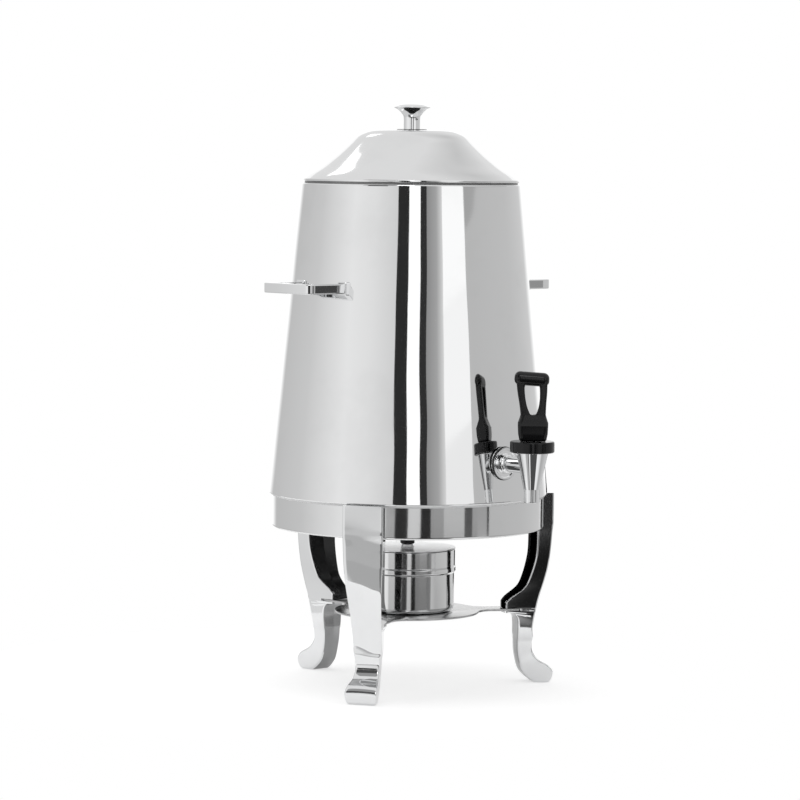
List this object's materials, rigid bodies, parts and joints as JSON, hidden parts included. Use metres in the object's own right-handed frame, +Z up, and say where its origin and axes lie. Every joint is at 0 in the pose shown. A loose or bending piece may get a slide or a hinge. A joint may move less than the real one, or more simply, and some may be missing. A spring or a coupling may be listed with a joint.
{
  "type": "drinks urn",
  "caption": "Conical polished-steel drinks urn on a legged stand, with a lift-off lid, side handles, a lever tap and a slide-out fuel burner on a tray below.",
  "frame": {"origin": "on the floor, under the middle of the bounding box", "axes": "+Z up, tap towards -Y, handles along X; the urn's own middle is 23.6 mm towards +Y"},
  "size_m": [0.318, 0.3342, 0.5623],
  "materials": {
    "polished_steel": "mirror-polished stainless steel sheet",
    "cast_steel": "polished cast stainless steel",
    "chromed": "bright chrome plating",
    "fixing_steel": "plain stainless fixings",
    "black_plastic": "black moulded plastic, semi-gloss",
    "silicone": "pale silicone rubber"
  },
  "bodies": {
    "urn": {"body_shell": "polished_steel", "tank_bottom": "polished_steel", "base_band": "polished_steel", "leg_front_left": "cast_steel", "leg_front_right": "cast_steel", "leg_rear": "cast_steel", "leg_screws": "fixing_steel", "leg_washers": "fixing_steel", "burner_tray": "polished_steel", "left_handle": "chromed", "right_handle": "chromed", "handle_screws": "fixing_steel", "handle_seals": "silicone", "tap_body": "chromed", "tap_collar": "chromed", "tap_outer_gasket": "silicone", "tap_inner_gasket": "silicone", "tap_locknut": "fixing_steel", "tap_bonnet": "black_plastic", "closing_spring": "fixing_steel"},
    "plug": {"seat_cup": "silicone"},
    "rod": {"tap_stem": "fixing_steel", "lever_pin": "fixing_steel"},
    "lever": {"tap_lever": "black_plastic"},
    "lid": {"lid_dome": "polished_steel", "lid_knob": "chromed", "knob_washer": "black_plastic", "knob_screw": "fixing_steel"},
    "burner": {"burner_cup": "polished_steel"},
    "cover": {"burner_cover": "polished_steel", "cover_knob": "black_plastic", "cover_screw": "fixing_steel"}
  },
  "joints": [
    {"name": "lid_lift", "type": "slide", "parent": "urn", "child": "lid", "axis": [0, 0, 1], "range_m": [0, 0.15]},
    {"name": "burner_slide", "type": "slide", "parent": "urn", "child": "burner", "axis": [0, -1, 0], "range_m": [0, 0.2]},
    {"name": "cover_lift", "type": "slide", "parent": "burner", "child": "cover", "axis": [0, 0, 1], "range_m": [0, 0.025]},
    {"name": "plug_lift", "type": "slide", "parent": "urn", "child": "plug", "axis": [0, 0, 1], "range_m": [0, 0.0036], "deforming": ["closing_spring"]},
    {"name": "lever_swivel", "type": "hinge", "parent": "plug", "child": "rod", "pos_m": [0, -0.14631, 0.2575], "axis": [0, 0, 1], "continuous": true},
    {"name": "lever_tilt", "type": "hinge", "parent": "rod", "child": "lever", "pos_m": [0, -0.14631, 0.2575], "axis": [0.7071, -0.7071, 0], "range_deg": [0, 25], "stiffness_Nm_per_rad": 0.5, "springref_deg": -14.32}
  ],
  "couplings": [
    {"joint": "plug_lift", "follows": "lever_tilt", "m_per_rad": 0.0077}
  ]
}
